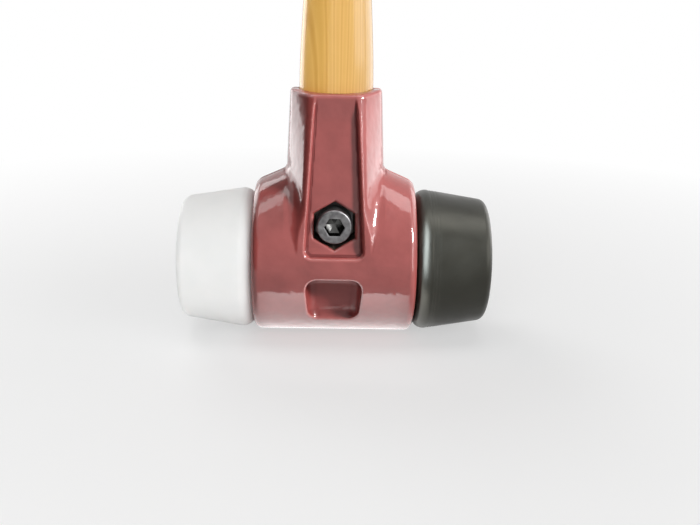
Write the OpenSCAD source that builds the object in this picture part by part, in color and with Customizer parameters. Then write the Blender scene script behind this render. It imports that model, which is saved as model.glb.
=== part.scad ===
// Soft face hammer: two alike cast half shells, clamped by one cross screw over a wooden
// handle and two exchangeable striking inserts. Millimetres, +Z up along the handle,
// X along the head, origin under the middle of the head on the surface it stands on.
// Heights named _h are measured from the head's axis.

/* [Overall] */
// Length from the underside of the head to the end of the handle
overall_length = 390; // [340:5:450]

/* [Inserts] */
// Largest diameter of an insert, just outside the housing
insert_d = 68; // [64:0.5:72]
// Diameter of the striking face over its rounded edge
face_d = 60; // [56:0.5:62]
// How far an insert stands out of the housing
insert_reach = 36.5; // [30:0.5:45]
// Height of the domed face above its rounded edge
dome_h = 1.3; // [0.8:0.1:2]
// Rounding of the striking face's edge
face_edge_r = 4; // [2:0.5:6]
// Rounding of the shoulder next to the housing
shoulder_r = 6; // [3:0.5:7]
// Diameter of the stub that the housing clamps
stub_d = 58; // [54:0.5:58.5]
// Length of the stub
stub_len = 22; // [18:0.5:26]
// Chamfer at the stub's inner end
stub_chamfer = 3.5; // [1:0.5:5]

/* [Housing] */
// Outside diameter of the clamping rings
ring_d = 70; // [68:0.5:74]
// Rounding of a ring's outer edge
ring_edge_r = 3.5; // [1:0.5:4]
// Casting between an insert's bore and the handle's tenon
web_wall = 5.4; // [3:0.2:8]
// Gap between the two half shells when they are clamped
parting_gap = 1.2; // [0.6:0.1:2]
// Rise of the shoulder ridge above the ring at the outer end
ridge_end_rise = 5; // [1:0.5:6]
// Rise of the shoulder ridge above the ring where it meets the neck
ridge_neck_rise = 10; // [6:0.5:14]
// Height of the neck's top
neck_top_h = 82.5; // [76:0.5:92]
// Fall of the neck's top from its side flats to its panels
rim_drop = 1.2; // [0:0.1:2]
// Casting beside the handle at the neck's top
neck_side_wall = 4.1; // [3:0.1:5]
// Casting before and behind the handle at the neck's top
neck_front_wall = 3.5; // [3:0.1:5]
// Casting beside the handle's root
root_side_wall = 4.7; // [3:0.1:6]
// Depth of the neck's narrow side flats, front to back
neck_side_t = 8; // [6:0.5:10]
// Width of the leaning front panel at the neck's top
panel_top_w = 22.8; // [20:0.2:26]
// Width of the front panel at its lower end, where it runs into the barrel
panel_base_w = 31.4; // [29:0.2:36]
// Casting round the cored space between the two bores
core_wall = 5; // [4:0.5:8]
// Rounding of the casting's edges
cast_edge_r = 1.5; // [1:0.25:2]

/* [Panel field and recess] */
// Width of the lip round the sunk field of the panel
field_lip = 2.3; // [2:0.1:4]
// Depth of the field
field_depth = 1.6; // [1:0.1:2]
// Height of the field's lower edge
field_base_h = 9; // [7:0.5:11]
// Rounding of the field's lower corners
field_corner_r = 4.5; // [3:0.5:7]
// Width of the recess under the field, at its top
recess_top_w = 26.4; // [20:0.2:27]
// Width of the recess at its lower end
recess_base_w = 22.8; // [18:0.2:27]
// Height of the recess's top edge
recess_top_h = 0; // [-4:0.2:1]
// Length of the recess from its top to its lower end
recess_len = 22.4; // [17:0.2:24]
// Rounding of the recess's corners
recess_corner_r = 5.5; // [3:0.5:7]
// Depth of the recess under the barrel's foremost line
recess_depth = 9.5; // [8.5:0.5:11]

/* [Clamp screw] */
// Thread diameter
screw_d = 10; // [8:1:12]
// Height of the screw
screw_h = 23.5; // [22:0.5:25]
// Casting between the handle's tenon and the screw's seat
seat_wall = 9.4; // [7:0.2:10]
// How far the screw reaches past its nut
screw_past = 4; // [2:0.5:5]
// Head diameter
head_d = 16; // [14:0.5:18]
// Head height
head_h = 10; // [8:0.5:10]
// Hexagon socket, across flats
key_af = 8; // [6:1:9]
// Depth of the hexagon socket
key_depth = 5; // [4:0.5:6]
// Nut, across flats
nut_af = 17; // [15:0.5:19]
// Nut height
nut_h = 8; // [6:0.5:9]

/* [Handle] */
// Width of the handle where it leaves the neck
mouth_w = 34.2; // [32:0.2:38]
// Thickness of the handle where it leaves the neck
mouth_t = 25; // [23:0.2:28]
// Width of the flared root, deep in the neck
root_w = 37; // [35:0.2:40]
// Thickness of the flared root
root_t = 30; // [27:0.2:34]
// Casting over an insert's bore, under the handle's root
root_floor = 9; // [6:0.5:12]
// Width and thickness of the tenon that the screw passes through
tenon_w = 19; // [17:0.2:22]
// How far the tenon reaches below the screw
tenon_below = 12.5; // [9:0.5:14]
// Width of the waist
waist_w = 29; // [26:0.5:33]
// Thickness of the waist
waist_t = 23; // [20:0.5:25]
// Height of the waist above the neck's top
waist_up = 65; // [55:5:90]
// Width of the grip
grip_w = 36; // [32:0.5:40]
// Thickness of the grip
grip_t = 28; // [25:0.5:32]
// Distance of the grip's widest place from the handle's end
grip_from_end = 62; // [50:2:80]
// Width of the handle's end, over its rounded edge
butt_w = 33; // [28:0.5:36]
// Thickness of the handle's end
butt_t = 26; // [22:0.5:30]
// Rounding of the handle's end
butt_edge_r = 6; // [3:0.5:8]

/* [Clearances] */
// Radial play of a stub in its bore
stub_clear = 0.05; // [0.02:0.01:0.1]
// Room behind a stub's inner end
bore_spare = 1; // [0.5:0.1:2]
// Play of the handle in its socket
handle_clear = 0.1; // [0.05:0.05:0.2]
// Radial play of the screw in its nut
thread_clear = 0.05; // [0.02:0.01:0.1]
// Radial play of the screw in the half shells and the handle
hole_clear = 0.5; // [0.3:0.1:0.8]
// Play of the nut across its pocket's flats, on each side
pocket_clear = 0.75; // [0.3:0.05:1]

/* [Hidden] */

$fn = 64;
// Facets of a sphere or a round in a hull
hull_fn = 20;
// Sides of the handle's oval, and rings along its body and round its end
handle_sides = 40;
body_rings = 24;
end_rings = 6;
// Steps of each rounding in an insert's outline
arc_steps = 7;
// Least width of a face between two edges of an outline
least_face = 0.05;
// Radius of the flat spot in the middle of a striking face
face_flat = 2;
// Overshoot of a cut or a joined piece past the surface it opens or enters
over = 1;

ring_r = ring_d / 2;
axis_z = max(ring_d, insert_d) / 2;
bore_r = stub_d / 2 + stub_clear;
bore_depth = stub_len + bore_spare;
housing_w = tenon_w + 2 * (handle_clear + web_wall + bore_depth);

screw_z = axis_z + screw_h;
screw_r = screw_d / 2 - thread_clear;
hole_r = screw_d / 2 + hole_clear;
seat_y = tenon_w / 2 + handle_clear + seat_wall;
screw_len = 2 * seat_y + nut_h + screw_past;
pocket_af = max(nut_af, head_d) + 2 * pocket_clear;

neck_top_z = axis_z + neck_top_h;
neck_top_w = mouth_w + 2 * neck_side_wall;
neck_top_t = mouth_t + 2 * neck_front_wall;
neck_base_w = root_w + 2 * root_side_wall;
ridge_neck_h = ring_r + ridge_neck_rise;
ridge_end_h = ring_r + ridge_end_rise;
root_z = axis_z + bore_r + root_floor;
cut_reach = 2 * ring_d;

// The panel leans so that its plane, from the neck's top, just touches the barrel
lean = atan2(neck_top_h, neck_top_t / 2) - acos(ring_r / norm([neck_top_h, neck_top_t / 2]));
panel_base_h = ring_r * sin(lean);

function mix(a, b, t) = a + (b - a) * t;
function ease(a, b, t) = mix(a, b, t * t * (3 - 2 * t));

// Distance of the panel from the parting plane and half its width, at height h
function panel_y(h) = (ring_r - h * sin(lean)) / cos(lean);
function panel_x(h) = mix(panel_top_w, panel_base_w, (neck_top_h - h) / (neck_top_h - panel_base_h)) / 2;
// Half width of the neck over its side flats, at height h
function neck_x(h) = mix(neck_top_w, neck_base_w, (neck_top_h - h) / (neck_top_h - ridge_neck_h)) / 2;

// A cylinder, a cone and a hexagonal prism along Y at the screw, from y0 to y1
module round_y(r, y0, y1) {
    cone_y(r, r, y0, y1);
}
module cone_y(r0, r1, y0, y1) {
    translate([0, y0, screw_z]) rotate([-90, 0, 0]) cylinder(r1 = r0, r2 = r1, h = y1 - y0);
}
// Turned by 30 degrees two corners point up and down, unturned two flats lie there
module hex_y(af, y0, y1, turn = 30) {
    translate([0, y0, screw_z]) rotate([-90, turn, 0]) cylinder(d = af / cos(30), h = y1 - y0, $fn = 6);
}

// The round barrel with rounded outer edges
module barrel() {
    r = ring_edge_r;
    translate([-housing_w / 2, 0, axis_z]) rotate([0, 90, 0]) rotate_extrude() {
        square([ring_r - r, housing_w]);
        translate([0, r]) square([ring_r, housing_w - 2 * r]);
        for (u = [r, housing_w - r]) translate([ring_r - r, u]) circle(r);
    }
}

// Egg-shaped slab across the head: round below, drawn up to a ridge above
module egg(r, ridge, width) {
    rotate([90, 0, 90]) linear_extrude(width, center = true) {
        circle(r);
        intersection() {
            scale([1, ridge / r]) circle(r);
            translate([-2 * r, 0]) square([4 * r, 2 * ridge]);
        }
    }
}

// Shoulders that rise from the rings to the neck, a little inside the barrel where it is round
module shoulders() {
    r = ring_r - over;
    edge = ring_edge_r;
    translate([0, 0, axis_z]) hull($fn = 2 * hull_fn) {
        egg(r, ridge_neck_h, neck_base_w);
        for (a = [0, 30, 60, 90]) {
            drop = edge * (1 - cos(a));
            egg(r - drop, ridge_end_h - drop, housing_w - 2 * edge * (1 - sin(a)));
        }
    }
}

// The neck with its leaning panels and slanting facets, as one rounded wedge
module neck() {
    r = cast_edge_r;
    top_h = neck_top_h - r;
    translate([0, 0, axis_z]) hull($fn = hull_fn) for (sx = [-1, 1], sy = [-1, 1]) {
        for (h = [top_h - rim_drop, panel_base_h])
            translate([sx * (panel_x(h) - r), sy * (panel_y(h) - r / cos(lean)), h]) sphere(r);
        for (h = [top_h, panel_base_h])
            translate([sx * (neck_x(h) - r), sy * (neck_side_t / 2 - r), h]) sphere(r);
    }
}

// Sunk field in the front panel: a hull of balls, so that its floor runs up into its walls
module panel_field() {
    ball = 1.5 * field_depth;
    top_h = neck_top_h - rim_drop - field_lip;
    arc_r = max(field_corner_r - ball, 0.1);
    sink = (ball - field_depth) / cos(lean);
    top_x = panel_x(top_h) - field_lip - ball;
    translate([0, 0, axis_z]) hull($fn = hull_fn) for (sx = [-1, 1]) {
        translate([sx * top_x, -panel_y(top_h - ball) - sink, top_h - ball]) sphere(ball);
        for (a = [0, 45, 90]) {
            h = field_base_h + field_corner_r - arc_r * sin(a);
            x = panel_x(field_base_h) - field_lip - field_corner_r + arc_r * cos(a);
            translate([sx * x, -panel_y(h) - sink, h]) sphere(ball);
        }
    }
}

// Outline of the recess under the field, seen from the front
module recess_outline() {
    r = recess_corner_r;
    low_h = recess_top_h - recess_len;
    x_top = recess_top_w / 2 - r;
    x_low = recess_base_w / 2 - r;
    hull() for (s = [-1, 1]) {
        translate([s * x_top, recess_top_h - r]) circle(r);
        translate([s * x_low, low_h + r]) circle(r);
    }
}

// Cored space in the web between the bores, under the handle's tenon
module core() {
    half_t = ring_r - recess_depth - core_wall;
    low_h = -sqrt(pow(ring_r - core_wall, 2) - pow(half_t, 2));
    high_h = screw_h - tenon_below - core_wall;
    translate([-tenon_w / 2, -half_t, axis_z + low_h]) cube([tenon_w, 2 * half_t, high_h - low_h]);
}

// One casting serves as both half shells. This is the front one
module half_shell() {
    difference() {
        intersection() {
            union() {
                barrel();
                shoulders();
                neck();
            }
            translate([-cut_reach, -cut_reach - parting_gap / 2, -over])
                cube([2 * cut_reach, cut_reach, neck_top_z + 2 * over]);
        }
        for (x = [-housing_w / 2 - over, housing_w / 2 - bore_depth])
            translate([x, 0, axis_z]) rotate([0, 90, 0]) cylinder(r = bore_r, h = bore_depth + over);
        handle_body(handle_clear);
        core();
        panel_field();
        translate([0, recess_depth - ring_r, axis_z]) rotate([90, 0, 0])
            linear_extrude(cut_reach) recess_outline();
        round_y(hole_r, -cut_reach, cut_reach);
        hex_y(pocket_af, -cut_reach, -seat_y);
    }
}

module front_housing() { color("#7a2a2c") half_shell(); }
module rear_housing() { color("#7a2a2c") rotate(180) half_shell(); }

// Socket head screw, its head at the front
module clamp_screw() {
    head_chamfer = head_d / 20;
    tip_chamfer = screw_d / 10;
    face_y = -seat_y - head_h;
    tip_y = screw_len - seat_y;
    color("#3a3a3c") difference() {
        union() {
            cone_y(head_d / 2 - head_chamfer, head_d / 2, face_y, face_y + head_chamfer);
            round_y(head_d / 2, face_y + head_chamfer, -seat_y);
            round_y(screw_r, -seat_y - over, tip_y - tip_chamfer);
            cone_y(screw_r, screw_r - tip_chamfer, tip_y - tip_chamfer, tip_y);
        }
        hex_y(key_af, face_y - over, face_y + key_depth, 0);
        cone_y(key_af / 2, 0, face_y + key_depth, face_y + key_depth + key_af / 4);
    }
}

// Hexagon nut with chamfered corners, in the rear half shell's pocket
module hex_nut() {
    flat_r = nut_af / 2;
    color("#8d9094") difference() {
        intersection() {
            hex_y(nut_af, seat_y, seat_y + nut_h);
            cone_y(flat_r, flat_r + 2 * nut_h, seat_y, seat_y + nut_h);
            cone_y(flat_r + 2 * nut_h, flat_r, seat_y, seat_y + nut_h);
        }
        round_y(screw_d / 2, seat_y - over, seat_y + nut_h + over);
    }
}

// Width and thickness of the handle's oval at height z
waist_z = neck_top_z + waist_up;
grip_z = overall_length - grip_from_end;
function oval(z, low, high, z_low, z_high) = let (t = (z - z_low) / (z_high - z_low))
    [ease(low[0], high[0], t), ease(low[1], high[1], t)];
function handle_oval(z) =
    z <= neck_top_z ? mix([root_w, root_t], [mouth_w, mouth_t], (z - root_z) / (neck_top_z - root_z))
    : z < waist_z ? oval(z, [mouth_w, mouth_t], [waist_w, waist_t], neck_top_z, waist_z)
    : z < grip_z ? oval(z, [waist_w, waist_t], [grip_w, grip_t], waist_z, grip_z)
    : oval(z, [grip_w, grip_t], [butt_w, butt_t], grip_z, overall_length);
// How far the rounded end has drawn in at height z
function drawn_in(z) = let (u = max(0, z - overall_length + butt_edge_r))
    butt_edge_r - sqrt(max(0, pow(butt_edge_r, 2) - u * u));

// The oval handle as one loft from root to end, with extra added all round
module handle_loft(extra) {
    end_z = overall_length - butt_edge_r;
    heights = [root_z - extra, neck_top_z,
               for (i = [1 : body_rings]) mix(neck_top_z, end_z, i / body_rings),
               for (i = [1 : end_rings]) end_z + butt_edge_r * sin(90 * i / end_rings)];
    n = handle_sides;
    last = (len(heights) - 1) * n;
    points = [for (z = heights) let (half = handle_oval(z) / 2, grow = extra - drawn_in(z))
              for (k = [0 : n - 1]) let (a = 360 * k / n)
              [(half[0] + grow) * cos(a), (half[1] + grow) * sin(a), z]];
    sides = [for (base = [0 : n : last - n], k = [0 : n - 1]) let (a = base + k, b = base + (k + 1) % n)
             each [[a, a + n, b + n], [a, b + n, b]]];
    caps = [[for (k = [0 : n - 1]) k], [for (k = [n - 1 : -1 : 0]) last + k]];
    polyhedron(points, concat(caps, sides));
}

// The handle and the square tenon under it, with extra added all round
module handle_body(extra) {
    low_z = screw_z - tenon_below - extra;
    w = tenon_w + 2 * extra;
    handle_loft(extra);
    translate([-w / 2, -w / 2, low_z]) cube([w, w, root_z + over - low_z]);
}

module handle() {
    color("#d9a04a") difference() {
        handle_body(0);
        round_y(hole_r, -tenon_w, tenon_w);
    }
}

// Half outline of an insert: x is the radius and y the distance out of the housing. The side is
// the common tangent of the two roundings, and the dome is a large circle that the striking
// face's edge touches from inside, with a small flat spot in its middle.
shoulder_c = [insert_d / 2 - shoulder_r, shoulder_r];
edge_c = [face_d / 2 - face_edge_r, insert_reach - dome_h - face_edge_r];
side_turn = atan2(shoulder_c[0] - edge_c[0], edge_c[1] - shoulder_c[1])
            + asin((shoulder_r - face_edge_r) / norm(edge_c - shoulder_c));
dome_drop = dome_h + face_edge_r;
dome_r = (pow(edge_c[0] - face_flat, 2) + pow(dome_drop, 2) - pow(face_edge_r, 2)) / (2 * dome_h);
dome_c = [face_flat, insert_reach - dome_r];
dome_turn = atan2(edge_c[1] - dome_c[1], edge_c[0] - dome_c[0]);

// The shoulder's rounding starts on a flat seat, or on the stub's side where it leaves no flat
seat_edge = [stub_d / 2, 0];
shoulder_turn = -acos(max(0, min(1, (seat_edge[0] - shoulder_c[0]) / shoulder_r)));

// Points of an arc about c, from one angle to another
function arc(c, r, from, to, first = 0) = [for (i = [first : arc_steps])
    let (a = mix(from, to, i / arc_steps)) c + r * [cos(a), sin(a)]];

module insert_outline() {
    polygon(concat([[0, -stub_len], [stub_d / 2 - stub_chamfer, -stub_len],
                    [stub_d / 2, stub_chamfer - stub_len]],
                   shoulder_c[0] - seat_edge[0] > least_face ? [seat_edge] : [],
                   arc(shoulder_c, shoulder_r, shoulder_turn, side_turn),
                   arc(edge_c, face_edge_r, side_turn, dome_turn),
                   arc(dome_c, dome_r, dome_turn, 90, 1), [[0, insert_reach]]));
}

// One striking insert, pointing along +X
module striking_insert() {
    translate([housing_w / 2, 0, axis_z]) rotate([0, 90, 0]) rotate_extrude() insert_outline();
}

module white_insert() { color("#eef0ee") rotate(180) striking_insert(); }
module black_insert() { color("#2b2c2a") striking_insert(); }

front_housing();
rear_housing();
clamp_screw();
hex_nut();
handle();
white_insert();
black_insert();
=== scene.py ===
# %% [markdown]
# # A soft face hammer
# The hammer stands on its head with its handle upright. Its head is two alike iron castings that one
# cross screw draws together over a wooden handle and over the stubs of two striking inserts, one white
# and hard, one black and soft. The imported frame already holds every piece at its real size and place.
# This lesson gives each piece the surface that the eye expects: a lumpy, thickly painted casting with
# soft fillets, a lacquered handle, moulded inserts and a blackened steel screw.

# %% Load the frame
import math

import bpy
import numpy as np
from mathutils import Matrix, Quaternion, Vector


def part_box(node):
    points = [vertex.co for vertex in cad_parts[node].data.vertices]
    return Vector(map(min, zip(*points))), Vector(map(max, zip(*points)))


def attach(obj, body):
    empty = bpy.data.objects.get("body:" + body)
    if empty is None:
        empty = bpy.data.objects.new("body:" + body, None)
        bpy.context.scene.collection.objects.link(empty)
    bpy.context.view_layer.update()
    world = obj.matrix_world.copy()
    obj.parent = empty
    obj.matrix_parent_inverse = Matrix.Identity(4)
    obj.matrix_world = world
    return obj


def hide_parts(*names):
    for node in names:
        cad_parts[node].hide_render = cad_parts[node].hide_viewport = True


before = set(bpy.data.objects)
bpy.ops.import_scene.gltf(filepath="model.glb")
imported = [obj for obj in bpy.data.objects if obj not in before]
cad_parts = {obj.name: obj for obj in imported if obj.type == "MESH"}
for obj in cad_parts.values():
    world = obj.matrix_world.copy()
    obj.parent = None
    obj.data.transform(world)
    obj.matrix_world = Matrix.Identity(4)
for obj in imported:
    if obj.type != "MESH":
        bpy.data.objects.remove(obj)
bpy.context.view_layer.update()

# %% [markdown]
# ## Sizes
# Everything below is worked out in millimetres, because that is how such a tool is drawn, and becomes
# metres only when a mesh is filled. Whatever the frame's boxes can tell is read from them. What a box
# cannot tell, such as the width of the neck's panel, is named once, where it is first needed.

# %% Sizes from the frame
MM = 0.001


def node_box(node):
    """The lowest and highest corner of a CAD node, in millimetres."""
    low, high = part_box(node)
    return np.array(low) / MM, np.array(high) / MM


shell_low, shell_high = node_box("front_housing")
handle_low, handle_high = node_box("handle")
insert_low, insert_high = node_box("black_insert")
screw_low, screw_high = node_box("clamp_screw")
nut_low, nut_high = node_box("hex_nut")

HALF_LENGTH = round(shell_high[0], 1)
AXIS_Z = round((insert_low[2] + insert_high[2]) / 2, 1)
RING_R = round(AXIS_Z - shell_low[2], 1)
PARTING = round(-shell_high[1], 1)
NECK_TOP = round(shell_high[2], 1) - AXIS_Z
SCREW_Z = round((screw_low[2] + screw_high[2]) / 2, 1)
SEAT_Y = round(nut_low[1], 1)
print("ring radius", RING_R, "half length", HALF_LENGTH, "neck top over the axis", NECK_TOP)

# %% [markdown]
# ## Meshes from arrays
# Blender takes a mesh as plain arrays: vertex places, and for each face the numbers of its corners. The
# hammer could be modelled by hand, but arrays worked out from sizes can be made again with other sizes.
# Each new piece rides on a body of the frame and takes the place of one of its nodes.

# %% New pieces
def new_piece(name, points, faces, body, node):
    """A mesh object from points in millimetres and a list of faces, riding on a body for a CAD node."""
    mesh = bpy.data.meshes.new(name)
    mesh.from_pydata(np.asarray(points, float) * MM, [], faces)
    mesh.validate()
    mesh.shade_smooth()
    piece = bpy.data.objects.new(name, mesh)
    bpy.context.scene.collection.objects.link(piece)
    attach(piece, body)
    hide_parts(node)
    print(name, "has", len(mesh.vertices), "vertices and", len(mesh.polygons), "faces")
    return piece


# %% [markdown]
# ### Turned grids
# The handle, the inserts, the screw and the nut are turned work. A Screw modifier could turn an outline,
# but the outline would be the same all the way round. A grid of points, with rows along an axis and
# columns round it, may have another radius at every column, and its faces follow from its shape alone.

# %% Turned grids
def tube_faces(rows, columns, loop=False):
    """Faces of a grid that closes round its columns, and round its rows too if it is a loop."""
    row = np.arange(rows if loop else rows - 1)[:, None]
    column = np.arange(columns)[None, :]
    after = (row + 1) % rows
    beside = (column + 1) % columns
    here, there = row * columns, after * columns
    corners = (here + column, here + beside, there + beside, there + column)
    return np.stack(np.broadcast_arrays(*corners), axis=-1).reshape(-1, 4)


def turned(along, radius, origin, axis, zero, poles=True):
    """Points and faces of a turned shape. Row i lies at along[i] on the axis, and its point at column j
    lies radius[i, j] from the axis, at the angle of column j counted from the direction zero. With poles
    the first and last row close to a point on the axis, and without them the last row joins the first."""
    axis, zero = np.array(axis, float), np.array(zero, float)
    quarter = np.cross(axis, zero)
    rows, columns = radius.shape
    angle = np.linspace(0, 2 * np.pi, columns, endpoint=False)
    out = np.cos(angle)[:, None] * zero + np.sin(angle)[:, None] * quarter
    along = np.broadcast_to(np.reshape(along, (rows, -1)), radius.shape)
    points = np.array(origin, float) + along[..., None] * axis + radius[..., None] * out
    points = points.reshape(-1, 3)
    faces = tube_faces(rows, columns, loop=not poles).tolist()
    if poles:
        ends = points[[0, -columns]] - radius[[0, -1], 0][:, None] * zero
        first, last = len(points), len(points) + 1
        edge = np.arange(columns)
        beside = (edge + 1) % columns
        top = (rows - 1) * columns
        faces += np.stack([np.full(columns, first), beside, edge], axis=1).tolist()
        faces += np.stack([np.full(columns, last), top + edge, top + beside], axis=1).tolist()
        points = np.vstack([points, ends])
    return points, faces


# %% [markdown]
# ### Easing
# Two small formulas come back in most of the shapes: a step with level ends and a mix of two values.

# %% Easing
def smooth_step(low, high, value):
    """Rises from 0 at low to 1 at high, level at both ends."""
    t = np.clip((value - low) / (high - low), 0, 1)
    return t * t * (3 - 2 * t)


def mix(a, b, t):
    """The value a share t of the way from a to b."""
    return a + (b - a) * t


# %% [markdown]
# ## The casting as a distance field
# A casting has no sharp joins: each part of it runs into the next with a fillet. Bevels on a boolean
# mesh tear where many edges meet, so the half shell is described another way, by one function that
# gives each point of space its distance from the metal's surface, below zero inside. Two shapes join by
# taking the smaller distance and cut by taking the larger one, and rounding that choice near equality
# gives a fillet of a known radius.

# %% Rounded joins and cuts
def both(a, b, r):
    """Inside a and b, with the outer edge where they meet rounded to the radius r."""
    return np.minimum(np.maximum(a, b), -r) + np.hypot(np.maximum(a + r, 0), np.maximum(b + r, 0))


def either(a, b, r):
    """Inside a or b, with the inner corner where they meet filled to the radius r."""
    return np.maximum(np.minimum(a, b), r) - np.hypot(np.maximum(r - a, 0), np.maximum(r - b, 0))


def without(a, b, r):
    """Inside a and outside b, with the rim of the cut rounded to the radius r."""
    return both(a, -b, r)


# %% [markdown]
# ## The outside of a half shell
# The head is a round barrel whose upper half rises to a ridge, higher near the neck. A row of sections
# could be skinned for it, but as a field it is short: the distance from the axis, less a radius that grows
# with the angle.

# %% Barrel with its ridge
RING_EDGE = 3.5
RIDGE_NECK, RIDGE_END = 10.0, 5.0
RIDGE_OVERRUN = 1.2
NECK_BASE_W = 46.4


def head_form(side, front, h):
    """Distance from the barrel with its ridge: its radius grows with the fourth power of the sine of the
    angle above the axis, by a rise that falls off from the neck to the rings' ends."""
    rho = np.hypot(front, h)
    lift = np.clip(h / np.maximum(rho, 1), 0, 1)
    fall = (side - NECK_BASE_W / 2) / (HALF_LENGTH - RING_EDGE - NECK_BASE_W / 2)
    rise = mix(RIDGE_NECK, RIDGE_END, np.clip(fall, 0, RIDGE_OVERRUN))
    return both(rho - RING_R - rise * lift**4, side - HALF_LENGTH, RING_EDGE)


print("the ridge rises to", RING_R + RIDGE_NECK, "mm over the axis")

# %% [markdown]
# ### The neck
# The neck is a wedge: a leaning front panel that just touches the barrel, a slanting facet on each side
# of it and a narrow side flat. It could be cut from a block, but here it is the room behind a few planes,
# with edges as round as a casting's. The panel's lean follows from the barrel that it touches.

# %% Neck
NECK_TOP_W = 42.4
NECK_SIDE_T, NECK_TOP_T = 8.0, 32.0
PANEL_TOP_W, PANEL_BASE_W = 22.8, 31.4
PANEL_EDGE, PANEL_EDGE_LOW = 2.0, 0.2
PANEL_EDGE_RUN = (14.0, 32.0)
FACET_BOW, BOW_RANGE = 0.6, (-0.1, 0.25)
CAST_EDGE = 1.6
LEAN = math.atan2(NECK_TOP, NECK_TOP_T / 2) - math.acos(RING_R / math.hypot(NECK_TOP, NECK_TOP_T / 2))
PANEL_BASE = RING_R * math.sin(LEAN)


def panel_plane(front, h):
    """Distance in front of the leaning panel, a plane that touches the barrel."""
    return front * math.cos(LEAN) + h * math.sin(LEAN) - RING_R


def panel_half(h):
    """Half the panel's width at height h."""
    return mix(PANEL_TOP_W, PANEL_BASE_W, (NECK_TOP - h) / (NECK_TOP - PANEL_BASE)) / 2


def neck_form(side, front, h):
    """Distance from the neck: at each height a six-sided section of panel, facet and side flat. The
    facet swells by FACET_BOW at the middle of its width, as 4 t (1 - t) with t across it."""
    ridge_h = RING_R + RIDGE_NECK
    flat_half = mix(NECK_TOP_W, NECK_BASE_W, (NECK_TOP - h) / (NECK_TOP - ridge_h)) / 2
    panel_front = (RING_R - h * math.sin(LEAN)) / math.cos(LEAN)
    run_side = flat_half - panel_half(h)
    run_front = panel_front - NECK_SIDE_T / 2
    facet = (side - panel_half(h)) * run_front + (front - panel_front) * run_side
    width = np.hypot(run_side, run_front)
    facet = facet / width
    across = ((side - panel_half(h)) * run_side + (panel_front - front) * run_front) / width**2
    facet = facet - 4 * FACET_BOW * np.clip(across * (1 - across), *BOW_RANGE)
    wedge = both(facet, side - flat_half, CAST_EDGE)
    edge = mix(PANEL_EDGE_LOW, PANEL_EDGE, smooth_step(*PANEL_EDGE_RUN, h))
    wedge = both(wedge, panel_plane(front, h), edge)
    return np.maximum(wedge, PANEL_BASE - h)


print("the panel leans by", round(math.degrees(LEAN), 1), "degrees")

# %% [markdown]
# ### The sunk field
# Barrel and neck join with a fillet that is wider at the front than on the ridge and thins out downwards.
# A sunk field fills the panel and leaves a narrow lip round itself. A flat cut would leave a flat floor,
# but this one runs out at the top and lies deeper towards its foot, so its depth is a formula too.

# %% Outer form
RIDGE_FILLET, FRONT_FILLET, LOW_FILLET = 2.4, 4.6, 0.6
FILLET_FRONT_RUN, FILLET_RUN = (4.0, 20.0), (6.0, 24.0)
FIELD_LIP, FIELD_CORNER = 1.3, 4.5
FIELD_BASE = 9.0
FIELD_LOW_DEPTH, FIELD_TOP_DEPTH = 3.9, 2.6
FIELD_LOW_RUN, FIELD_TOP_RUN = 6.0, 14.0
FIELD_SIDE_SLOPE = 1.5
RIM_SLOPE = 0.1


def outer_form(x, y, z):
    """Distance from the half shell before anything is cut into it but its field. The field's depth grows
    evenly from its top to its foot and is eased at both ends. Across its wall it follows t squared, which
    rounds the lip and leaves the foot sharp."""
    side, front, h = np.abs(x), -y, z - AXIS_Z
    fillet = mix(RIDGE_FILLET, FRONT_FILLET, smooth_step(*FILLET_FRONT_RUN, front))
    fillet = mix(LOW_FILLET, fillet, smooth_step(*FILLET_RUN, h))
    body = either(head_form(side, front, h), neck_form(side, front, h), fillet)
    panel = panel_plane(front, h)
    outline = both(side - panel_half(h) + FIELD_LIP, FIELD_BASE - h, FIELD_CORNER)
    over_base, under_top = h - FIELD_BASE, NECK_TOP - h
    down = np.clip(under_top / (NECK_TOP - FIELD_BASE), 0, 1)
    depth = mix(FIELD_TOP_DEPTH, FIELD_LOW_DEPTH, down)
    depth = depth * smooth_step(-FIELD_LOW_RUN, FIELD_LOW_RUN, over_base)
    depth = depth * smooth_step(0, FIELD_TOP_RUN, under_top)
    sunk = panel + depth * np.clip(-outline / FIELD_SIDE_SLOPE, 0, 1)**2
    top = h - NECK_TOP + RIM_SLOPE * np.maximum(front - NECK_SIDE_T / 2, 0)
    return both(np.maximum(body, sunk), top, CAST_EDGE)


print("the field is", round(NECK_TOP - FIELD_BASE, 1), "mm high")

# %% [markdown]
# ## The handle's room
# The handle's root flares, so the neck has a socket that is narrower at its mouth, with a square slot for
# the tenon below it. The handle itself could be cut out of the casting, but a field of its own leaves a
# little room all round it.

# %% Room for the handle
HANDLE_CLEAR = 0.1
ROOT_HALF = handle_high[:2] + HANDLE_CLEAR
MOUTH_SIZE = np.array([34.2, 25.0])
MOUTH_HALF = MOUTH_SIZE / 2 + HANDLE_CLEAR
MOUTH_Z, ROOT_Z = NECK_TOP + AXIS_Z, 73.05
TENON_HALF = 9.6
TENON_Z = handle_low[2] - HANDLE_CLEAR
SLOT_OVERLAP = 1.0


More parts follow.
